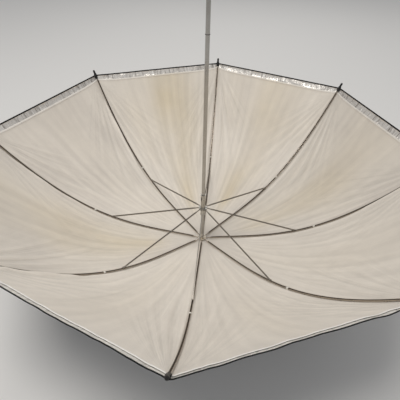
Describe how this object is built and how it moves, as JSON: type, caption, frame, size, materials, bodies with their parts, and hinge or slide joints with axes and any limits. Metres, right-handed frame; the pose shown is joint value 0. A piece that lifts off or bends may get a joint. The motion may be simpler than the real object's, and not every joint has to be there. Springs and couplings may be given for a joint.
{
  "type": "umbrella reflector",
  "caption": "Folding umbrella reflector for a studio light: a white canopy and a black cover on curved ribs, opened by a sliding runner, on a slim round shaft.",
  "frame": {"origin": "on the shaft's axis at the tip of the ferrule, the lowest point", "axes": "+Z along the shaft from the ferrule to its handle end, the way the hollow side of the open canopy faces; +X along the first rib"},
  "size_m": [0.9712, 0.9712, 0.735],
  "materials": {
    "shaft_steel": "polished, lightly scratched",
    "rib_steel": "dark rolled steel strip",
    "strut_steel": "dull steel",
    "notch_metal": "bright plating, browned rims",
    "runner_metal": "dull plating",
    "wire": "drawn wire",
    "rivet_steel": "dark, peened",
    "black_plastic": "fine texture",
    "spring_steel": "hardened strip",
    "white_satin": "satin, aged, faint tan stains",
    "black_silver_cloth": "black outside, silver coating inside"
  },
  "bodies": {
    "shaft": {"shaft_tube": "shaft_steel", "top_notch": "notch_metal", "notch_wire": "wire", "ferrule": "black_plastic", "crown_washer": "black_plastic", "shaft_end_cap": "black_plastic", "runner_stop_ring": "spring_steel", "catch_pin": "rivet_steel", "white_canopy": "white_satin", "backing_cover": "black_silver_cloth"},
    "catch": {"catch_spring": "spring_steel"},
    "rib_1": {"rib_1_inner": "rib_steel", "strut_rivet_1": "rivet_steel"},
    "rib_1_end": {"rib_1_outer": "rib_steel", "rib_tip_1": "black_plastic"},
    "strut_1": {"strut_1": "strut_steel"},
    "rib_2": {"rib_2_inner": "rib_steel", "strut_rivet_2": "rivet_steel"},
    "rib_2_end": {"rib_2_outer": "rib_steel", "rib_tip_2": "black_plastic"},
    "strut_2": {"strut_2": "strut_steel"},
    "rib_3": {"rib_3_inner": "rib_steel", "strut_rivet_3": "rivet_steel"},
    "rib_3_end": {"rib_3_outer": "rib_steel", "rib_tip_3": "black_plastic"},
    "strut_3": {"strut_3": "strut_steel"},
    "rib_4": {"rib_4_inner": "rib_steel", "strut_rivet_4": "rivet_steel"},
    "rib_4_end": {"rib_4_outer": "rib_steel", "rib_tip_4": "black_plastic"},
    "strut_4": {"strut_4": "strut_steel"},
    "rib_5": {"rib_5_inner": "rib_steel", "strut_rivet_5": "rivet_steel"},
    "rib_5_end": {"rib_5_outer": "rib_steel", "rib_tip_5": "black_plastic"},
    "strut_5": {"strut_5": "strut_steel"},
    "rib_6": {"rib_6_inner": "rib_steel", "strut_rivet_6": "rivet_steel"},
    "rib_6_end": {"rib_6_outer": "rib_steel", "rib_tip_6": "black_plastic"},
    "strut_6": {"strut_6": "strut_steel"},
    "rib_7": {"rib_7_inner": "rib_steel", "strut_rivet_7": "rivet_steel"},
    "rib_7_end": {"rib_7_outer": "rib_steel", "rib_tip_7": "black_plastic"},
    "strut_7": {"strut_7": "strut_steel"},
    "rib_8": {"rib_8_inner": "rib_steel", "strut_rivet_8": "rivet_steel"},
    "rib_8_end": {"rib_8_outer": "rib_steel", "rib_tip_8": "black_plastic"},
    "strut_8": {"strut_8": "strut_steel"},
    "runner": {"runner": "runner_metal", "runner_wire": "wire"}
  },
  "joints": [
    {"name": "rib_1_fold", "type": "hinge", "parent": "shaft", "child": "rib_1", "pos_m": [0.008, 0, 0.045], "axis": [0, -1, 0], "range_deg": [0, 73.5], "deforming": ["white_canopy", "backing_cover", "catch_spring"]},
    {"name": "strut_1_pivot", "type": "hinge", "parent": "rib_1", "child": "strut_1", "pos_m": [0.222, 0, 0.095], "axis": [0, -1, 0], "range_deg": [-147.01, 0]},
    {"name": "rib_1_straighten", "type": "hinge", "parent": "rib_1", "child": "rib_1_end", "pos_m": [0.23549, 0, 0.09662], "axis": [0, -1, 0], "range_deg": [-23.56, 0]},
    {"name": "rib_2_fold", "type": "hinge", "parent": "shaft", "child": "rib_2", "pos_m": [0.00566, 0.00566, 0.045], "axis": [0.7071, -0.7071, 0], "range_deg": [0, 73.5]},
    {"name": "strut_2_pivot", "type": "hinge", "parent": "rib_2", "child": "strut_2", "pos_m": [0.15698, 0.15698, 0.095], "axis": [0.7071, -0.7071, 0], "range_deg": [-147.01, 0]},
    {"name": "rib_2_straighten", "type": "hinge", "parent": "rib_2", "child": "rib_2_end", "pos_m": [0.16652, 0.16652, 0.09662], "axis": [0.7071, -0.7071, 0], "range_deg": [-23.56, 0]},
    {"name": "rib_3_fold", "type": "hinge", "parent": "shaft", "child": "rib_3", "pos_m": [0, 0.008, 0.045], "axis": [1, 0, 0], "range_deg": [0, 73.5]},
    {"name": "strut_3_pivot", "type": "hinge", "parent": "rib_3", "child": "strut_3", "pos_m": [0, 0.222, 0.095], "axis": [1, 0, 0], "range_deg": [-147.01, 0]},
    {"name": "rib_3_straighten", "type": "hinge", "parent": "rib_3", "child": "rib_3_end", "pos_m": [0, 0.23549, 0.09662], "axis": [1, 0, 0], "range_deg": [-23.56, 0]},
    {"name": "rib_4_fold", "type": "hinge", "parent": "shaft", "child": "rib_4", "pos_m": [-0.00566, 0.00566, 0.045], "axis": [0.7071, 0.7071, 0], "range_deg": [0, 73.5]},
    {"name": "strut_4_pivot", "type": "hinge", "parent": "rib_4", "child": "strut_4", "pos_m": [-0.15698, 0.15698, 0.095], "axis": [0.7071, 0.7071, 0], "range_deg": [-147.01, 0]},
    {"name": "rib_4_straighten", "type": "hinge", "parent": "rib_4", "child": "rib_4_end", "pos_m": [-0.16652, 0.16652, 0.09662], "axis": [0.7071, 0.7071, 0], "range_deg": [-23.56, 0]},
    {"name": "rib_5_fold", "type": "hinge", "parent": "shaft", "child": "rib_5", "pos_m": [-0.008, 0, 0.045], "axis": [0, 1, 0], "range_deg": [0, 73.5]},
    {"name": "strut_5_pivot", "type": "hinge", "parent": "rib_5", "child": "strut_5", "pos_m": [-0.222, 0, 0.095], "axis": [0, 1, 0], "range_deg": [-147.01, 0]},
    {"name": "rib_5_straighten", "type": "hinge", "parent": "rib_5", "child": "rib_5_end", "pos_m": [-0.23549, 0, 0.09662], "axis": [0, 1, 0], "range_deg": [-23.56, 0]},
    {"name": "rib_6_fold", "type": "hinge", "parent": "shaft", "child": "rib_6", "pos_m": [-0.00566, -0.00566, 0.045], "axis": [-0.7071, 0.7071, 0], "range_deg": [0, 73.5]},
    {"name": "strut_6_pivot", "type": "hinge", "parent": "rib_6", "child": "strut_6", "pos_m": [-0.15698, -0.15698, 0.095], "axis": [-0.7071, 0.7071, 0], "range_deg": [-147.01, 0]},
    {"name": "rib_6_straighten", "type": "hinge", "parent": "rib_6", "child": "rib_6_end", "pos_m": [-0.16652, -0.16652, 0.09662], "axis": [-0.7071, 0.7071, 0], "range_deg": [-23.56, 0]},
    {"name": "rib_7_fold", "type": "hinge", "parent": "shaft", "child": "rib_7", "pos_m": [0, -0.008, 0.045], "axis": [-1, 0, 0], "range_deg": [0, 73.5]},
    {"name": "strut_7_pivot", "type": "hinge", "parent": "rib_7", "child": "strut_7", "pos_m": [0, -0.222, 0.095], "axis": [-1, 0, 0], "range_deg": [-147.01, 0]},
    {"name": "rib_7_straighten", "type": "hinge", "parent": "rib_7", "child": "rib_7_end", "pos_m": [0, -0.23549, 0.09662], "axis": [-1, 0, 0], "range_deg": [-23.56, 0]},
    {"name": "rib_8_fold", "type": "hinge", "parent": "shaft", "child": "rib_8", "pos_m": [0.00566, -0.00566, 0.045], "axis": [-0.7071, -0.7071, 0], "range_deg": [0, 73.5]},
    {"name": "strut_8_pivot", "type": "hinge", "parent": "rib_8", "child": "strut_8", "pos_m": [0.15698, -0.15698, 0.095], "axis": [-0.7071, -0.7071, 0], "range_deg": [-147.01, 0]},
    {"name": "rib_8_straighten", "type": "hinge", "parent": "rib_8", "child": "rib_8_end", "pos_m": [0.16652, -0.16652, 0.09662], "axis": [-0.7071, -0.7071, 0], "range_deg": [-23.56, 0]},
    {"name": "runner_lift", "type": "hinge", "parent": "strut_1", "child": "runner", "pos_m": [0.008, 0, 0.145], "axis": [0, -1, 0], "range_deg": [0, 73.51]},
    {"name": "catch_press", "type": "hinge", "parent": "shaft", "child": "catch", "pos_m": [-0.00113, -0.00113, 0.149], "axis": [-0.7071, 0.7071, 0], "range_deg": [0, 5], "stiffness_Nm_per_rad": 0.05}
  ],
  "couplings": [
    {"joint": "strut_1_pivot", "follows": "rib_1_fold", "ratio": -2},
    {"joint": "rib_1_straighten", "follows": "rib_1_fold", "ratio": -0.32041},
    {"joint": "rib_2_fold", "follows": "rib_1_fold", "ratio": 1},
    {"joint": "strut_2_pivot", "follows": "rib_1_fold", "ratio": -2},
    {"joint": "rib_2_straighten", "follows": "rib_1_fold", "ratio": -0.32041},
    {"joint": "rib_3_fold", "follows": "rib_1_fold", "ratio": 1},
    {"joint": "strut_3_pivot", "follows": "rib_1_fold", "ratio": -2},
    {"joint": "rib_3_straighten", "follows": "rib_1_fold", "ratio": -0.32041},
    {"joint": "rib_4_fold", "follows": "rib_1_fold", "ratio": 1},
    {"joint": "strut_4_pivot", "follows": "rib_1_fold", "ratio": -2},
    {"joint": "rib_4_straighten", "follows": "rib_1_fold", "ratio": -0.32041},
    {"joint": "rib_5_fold", "follows": "rib_1_fold", "ratio": 1},
    {"joint": "strut_5_pivot", "follows": "rib_1_fold", "ratio": -2},
    {"joint": "rib_5_straighten", "follows": "rib_1_fold", "ratio": -0.32041},
    {"joint": "rib_6_fold", "follows": "rib_1_fold", "ratio": 1},
    {"joint": "strut_6_pivot", "follows": "rib_1_fold", "ratio": -2},
    {"joint": "rib_6_straighten", "follows": "rib_1_fold", "ratio": -0.32041},
    {"joint": "rib_7_fold", "follows": "rib_1_fold", "ratio": 1},
    {"joint": "strut_7_pivot", "follows": "rib_1_fold", "ratio": -2},
    {"joint": "rib_7_straighten", "follows": "rib_1_fold", "ratio": -0.32041},
    {"joint": "rib_8_fold", "follows": "rib_1_fold", "ratio": 1},
    {"joint": "strut_8_pivot", "follows": "rib_1_fold", "ratio": -2},
    {"joint": "rib_8_straighten", "follows": "rib_1_fold", "ratio": -0.32041},
    {"joint": "runner_lift", "follows": "rib_1_fold", "ratio": 1}
  ]
}
